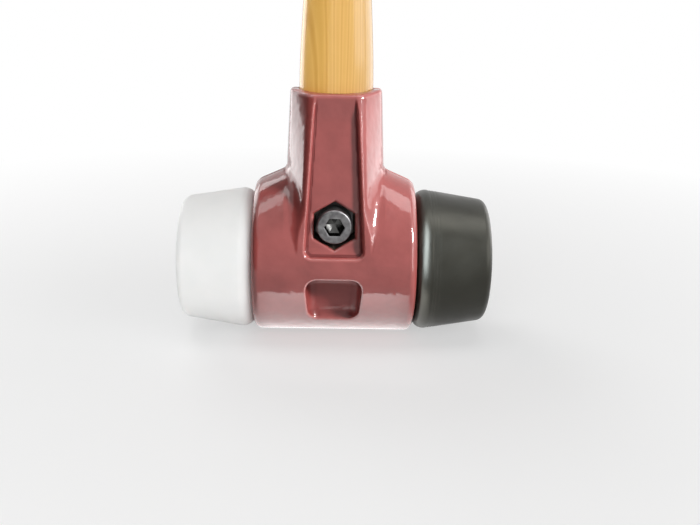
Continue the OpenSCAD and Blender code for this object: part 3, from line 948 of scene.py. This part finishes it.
# %% White plastic
white, tree, shader, place = new_finish(
    "waxy_plastic", **{"Roughness": 0.46, "Specular IOR Level": 0.12, "Subsurface Weight": 0.12,
                       "Subsurface Radius": (1, 0.9, 0.8), "Subsurface Scale": 2 * MM})
tone = ramp(tree, noise(tree, place, 18, 2), (0.3, screen_colour(233, 234, 233)),
            (0.7, screen_colour(238, 238, 237)))
tree.links.new(tone, shader.inputs["Base Color"])
grain = bumps(tree, (noise(tree, place, 2.5, 1), 0.02, 0.4), (noise(tree, place, 0.4, 2), 0.006, 0.5))
tree.links.new(grain, shader.inputs["Normal"])
dress(white_insert, white)

# %% [markdown]
# ### Black rubber
# The soft insert is black rubber with a faint olive cast and a satin skin. Flow marks run round it, so
# one noise is drawn out far across the head's axis and changes mostly along it. A Wave texture could
# draw them too, but too evenly.

# %% Black rubber
rubber, tree, shader, place = new_finish(
    "satin_rubber", **{"Specular IOR Level": 0.45, "Specular Tint": (1.0, 0.98, 0.85, 1)})
tone = ramp(tree, noise(tree, place, 16, 4), (0.3, screen_colour(17, 17, 13)),
            (0.72, screen_colour(28, 27, 22)))
tree.links.new(tone, shader.inputs["Base Color"])
skin = noise(tree, place, 9, 3)
tree.links.new(span(tree, skin, 0.3, 0.7, 0.3, 0.42), shader.inputs["Roughness"])
flow = noise(tree, place, 1.1, 2, (1, 60, 60))
marks = bumps(tree, (flow, 0.03, 0.5), (noise(tree, place, 0.5, 2), 0.01, 0.5))
tree.links.new(marks, shader.inputs["Normal"])
dress(black_insert, rubber)

# %% [markdown]
# ### Steel
# The screw is blackened steel that handling has rubbed to a satin grey. Its socket is darker, as a painted
# shade, and smoother. The nut is zinc plated, lighter and a little cloudy. Both are bare metal that differs
# in tone and gloss only, so one function makes them.

# %% Steel
SOCKET_SHADE, SOCKET_SMOOTH = 0.6, 0.2


def steel(name, dark, light, rough_low, rough_high):
    """Satin steel between two greys and two roughnesses, with a fine grain, darker as a painted shade and
    smoother in a socket.
    """
    material, tree, shader, place = new_finish(name, **{"Metallic": 1.0})
    cloud = noise(tree, place, 2.2, 4)
    socket = attribute(tree, "socket")
    grey = ramp(tree, cloud, (0.3, dark), (0.7, light))
    # painted shade: the inside of the socket is darkened
    grey = blend(tree, span(tree, socket, 0, 1, 0.0, SOCKET_SHADE), grey, screen_colour(52, 53, 48))
    tree.links.new(grey, shader.inputs["Base Color"])
    rough = span(tree, cloud, 0.3, 0.7, rough_low, rough_high)
    tree.links.new(maths(tree, "MULTIPLY_ADD", socket, -SOCKET_SMOOTH, rough), shader.inputs["Roughness"])
    tree.links.new(bumps(tree, (noise(tree, place, 0.35, 2), 0.01, 0.35)), shader.inputs["Normal"])
    return material


blackened = steel("blackened_steel", screen_colour(92, 91, 92), screen_colour(128, 127, 128), 0.34, 0.48)
zinc = steel("zinc_plate", screen_colour(158, 160, 160), screen_colour(196, 198, 196), 0.26, 0.4)
dress(screw, blackened)
dress(nut, zinc)

# %% [markdown]
# ## Camera
# The view looks down a little on the front of the head, from close by, so the handle leaves the picture
# at the top. The lens follows from the focal length in pixels, and a small shift puts the head's middle
# where it belongs in the picture. Moving the camera aside would do that too, but it would turn the view.

# %% Camera
PICTURE = (700, 525)
FOCAL_PIXELS = 830
HEAD_PIXEL = (334.0, 257.4)
VIEW_DISTANCE = 0.41
VIEW_DOWN = math.radians(18)
VIEW_ROLL = math.radians(0.8)
head_middle = Vector((0, 0, AXIS_Z * MM))
away = Vector((0, -math.cos(VIEW_DOWN), math.sin(VIEW_DOWN)))
lens = bpy.data.cameras.new("camera")
lens.sensor_width = 36
lens.lens = lens.sensor_width * FOCAL_PIXELS / PICTURE[0]
lens.shift_x = (PICTURE[0] / 2 - HEAD_PIXEL[0]) / PICTURE[0]
lens.shift_y = (HEAD_PIXEL[1] - PICTURE[1] / 2) / PICTURE[0]
lens.clip_start = 0.01
camera = bpy.data.objects.new("camera", lens)
camera.location = head_middle + away * VIEW_DISTANCE
aim = (-away).to_track_quat("-Z", "Y") @ Quaternion((0, 0, 1), VIEW_ROLL)
camera.rotation_euler = aim.to_euler()
bpy.context.scene.collection.objects.link(camera)
bpy.context.scene.camera = camera
print("lens", round(lens.lens, 2), "mm, shift", round(lens.shift_x, 4), round(lens.shift_y, 4))

# %% [markdown]
# ## Floor
# The hammer stands on white paper. Paper that is lit looks grey far from the lamps, and more light would
# bleach the hammer, so the floor also glows where it is seen, the more the farther it lies from the
# hammer. Near the hammer it keeps the shadow.

# %% Floor
def flat_sheet(name, corners):
    """A stage mesh with one face between four corners, in metres."""
    mesh = bpy.data.meshes.new(name)
    mesh.from_pydata(corners, [], [(0, 1, 2, 3)])
    made = bpy.data.objects.new(name, mesh)
    bpy.context.scene.collection.objects.link(made)
    return made


def seen_share(tree):
    """One for rays that show the surround itself: from the camera, from gloss or through glass."""
    path = add(tree, "ShaderNodeLightPath").outputs
    first = maths(tree, "MAXIMUM", path["Is Camera Ray"], path["Is Glossy Ray"])
    return maths(tree, "MAXIMUM", first, path["Is Transmission Ray"])


FLOOR_REACH = 8.0
FLOOR_FADE = (0.1, 0.5)
FLOOR_LIFT = (0.5, 1.0)
floor_corners = [(x * FLOOR_REACH, y * FLOOR_REACH, 0) for x, y in ((-1, -1), (1, -1), (1, 1), (-1, 1))]
floor = flat_sheet("floor", floor_corners)
paper, tree, shader, place = new_finish(
    "floor_paper", **{"Base Color": (0.8, 0.8, 0.8, 1), "Roughness": 0.9, "Specular IOR Level": 0.1})
reach = add(tree, "ShaderNodeVectorMath", {0: place}, operation="LENGTH").outputs["Value"]
lifted = maths(tree, "MULTIPLY", span(tree, reach, *FLOOR_FADE, *FLOOR_LIFT), seen_share(tree))
glow = add(tree, "ShaderNodeEmission", {"Color": (1, 1, 1, 1), "Strength": 1.0})
joined = add(tree, "ShaderNodeMixShader", {0: lifted, 1: shader.outputs[0], 2: glow.outputs[0]})
output = next(n for n in tree.nodes if n.type == "OUTPUT_MATERIAL")
tree.links.new(joined.outputs[0], output.inputs["Surface"])
dress(floor, paper)

# %% [markdown]
# ## Surround
# Behind the floor everything is white. The world shows as white to the camera and in gloss, but it lights
# the pieces only a little, so that the lamps alone decide how they look.

# %% Surround
WORLD_LIGHT = 0.1
world = bpy.data.worlds.new("surround")
world.use_nodes = True
bpy.context.scene.world = world
tree = world.node_tree
tree.nodes.clear()
strength = span(tree, seen_share(tree), 0, 1, WORLD_LIGHT, 1.0)
surround = add(tree, "ShaderNodeBackground", {"Color": (1, 1, 1, 1), "Strength": strength})
output = add(tree, "ShaderNodeOutputWorld")
tree.links.new(surround.outputs[0], output.inputs["Surface"])
print("the surround lights the pieces with", WORLD_LIGHT, "of its white")

# %% [markdown]
# ## Lamps
# One softbox hangs overhead and one stands behind. A small key light at the front right shapes the
# castings, the screw and the nut. Its shadows would be too hard on the inserts, the handle and the floor,
# so a broad light and a fill light shine on those. Light linking keeps them apart. Three more lamps show in
# gloss alone: on the castings' edges, in the screw's socket and, like a window, on the rubber.

# %% Lamps
def softbox(name, place, size, watts, target=(0, 0, 0.06)):
    """A rectangular area light that faces a target."""
    light = bpy.data.lights.new(name, "AREA")
    light.shape = "RECTANGLE"
    light.size, light.size_y = size
    light.energy = watts
    lamp = bpy.data.objects.new(name, light)
    lamp.location = place
    lamp.rotation_euler = (Vector(target) - Vector(place)).to_track_quat("-Z", "Y").to_euler()
    bpy.context.scene.collection.objects.link(lamp)
    print("light", name, "of", watts, "W")
    return lamp


def shines_on(lamp, *pieces):
    """Lets a light reach these pieces alone."""
    reached = bpy.data.collections.new(lamp.name + "_reach")
    for piece in pieces:
        reached.objects.link(piece)
    lamp.light_linking.receiver_collection = reached


softbox("overhead", (0, -0.05, 1.1), (0.9, 0.5), 3.6)
back_lamp = softbox("back", (-0.5, 0.8, 0.6), (0.6, 0.6), 5.0)
back_lamp.visible_glossy = False
key_lamp = softbox("key", (0.806, -0.486, 0.62), (0.16, 0.16), 16.6)
shines_on(key_lamp, front_half, rear_half, screw, nut)
broad_lamp = softbox("broad", (0.75, -0.4, 0.36), (0.6, 0.6), 2.9)
shines_on(broad_lamp, white_insert, black_insert, handle, floor)
fill_lamp = softbox("fill", (-0.25, -0.95, 0.22), (0.5, 0.5), 5.9)
fill_lamp.visible_glossy = False
shines_on(fill_lamp, white_insert, black_insert, handle, floor)

edge_lamp = softbox("edge", (0.44, -0.43, 0.17), (0.08, 0.26), 0.7)
edge_lamp.visible_diffuse = False
shines_on(edge_lamp, front_half, rear_half)
spark_lamp = softbox("spark", (0.33, -0.5, 0.07), (0.1, 0.1), 0.4)
spark_lamp.visible_diffuse = False
shines_on(spark_lamp, screw)
window_lamp = softbox("window", (-0.168, -0.297, 0.24), (0.26, 0.6), 11.5, (0.04, -0.03, 0.1))
window_lamp.data.color = (0.8, 0.89, 1)
window_lamp.visible_diffuse = False
shines_on(window_lamp, black_insert)

# %% [markdown]
# ## Cards
# Thick paint is a mirror, and a white surround alone would make it dull and even. Pale cards and black
# flags stand where the casting's facets and its underside look. A lamp could stand there too, but it would
# also light the hammer, and a card that only gloss sees does not.

# %% Cards
def faded(tree, glow, fades):
    """A glow that thins out along axes. A fade is an axis, the place where the glow is whole, the place
    where its fall ends and the share that is left there. Places count either way from the handle's axis."""
    place = add(tree, "ShaderNodeTexCoord").outputs["Object"]
    parts = add(tree, "ShaderNodeSeparateXYZ", {0: place}).outputs
    clear = add(tree, "ShaderNodeBsdfTransparent").outputs[0]
    for axis, whole, end, left in fades:
        share = span(tree, maths(tree, "ABSOLUTE", parts[axis]), whole, end, 1.0, left)
        glow = add(tree, "ShaderNodeMixShader", {0: share, 1: clear, 2: glow}).outputs[0]
    return glow


def card(name, middle, across, up, strength, fades=()):
    """A glowing rectangle that only gloss can see, or a black one if its strength is 0. Half its sides are
    the vectors across and up."""
    middle, across, up = (np.array(v, float) for v in (middle, across, up))
    corners = [middle - across - up, middle + across - up, middle + across + up, middle - across + up]
    made = flat_sheet(name, corners)
    material = bpy.data.materials.new(name)
    material.use_nodes = True
    tree = material.node_tree
    tree.nodes.clear()
    glow = add(tree, "ShaderNodeEmission", {"Color": (1, 1, 1, 1), "Strength": strength}).outputs[0]
    output = add(tree, "ShaderNodeOutputMaterial")
    tree.links.new(faded(tree, glow, fades), output.inputs["Surface"])
    dress(made, material)
    made.visible_camera = False
    made.visible_diffuse = False
    made.visible_transmission = False
    made.visible_volume_scatter = False
    made.visible_shadow = False
    return made


card("left_card", (-0.4, 0.33, 0.18), (0, 0.2, 0), (0, 0, 0.18), 3.9)
card("right_card", (0.42, 0.22, 0.18), (-0.03, 0.24, 0), (0, 0, 0.18), 3.0)
card("upper_left_card", (-0.422, -0.226, 0.852), (0.07, -0.14, 0), (0.1, 0.05, 0.06), 4)
card("rear_left_card", (-0.351, 0.368, 0.568), (0.06, 0.06, 0), (0.05, -0.05, 0.06), 4)
card("upper_right_card", (0.465, -0.056, 0.857), (0, 0.2, 0), (0.12, 0, -0.07), 5)
card("low_card", (0, -0.039, 0.002), (0.052, 0, 0), (0, 0.027, 0), 5.2,
     (("X", 0.03, 0.052, 0.0), ("Y", 0.066, 0.012, 0.2)))
card("left_flag", (-0.39, -0.26, 0.2), (0.206, -0.31, 0), (0, 0, 0.2), 0)
card("far_left_flag", (-0.62, 0.1, 0.18), (0, 0.07, 0), (0, 0, 0.2), 0)
card("shoulder_flag", (-0.256, 0.112, 0.499), (0.04, 0.08, 0), (0.06, -0.03, 0.04), 0)

# %% [markdown]
# ## Last
# The colours are to come out as they are written, so the view transform is the plain one.

# %% Finish
bpy.context.scene.view_settings.view_transform = "Standard"
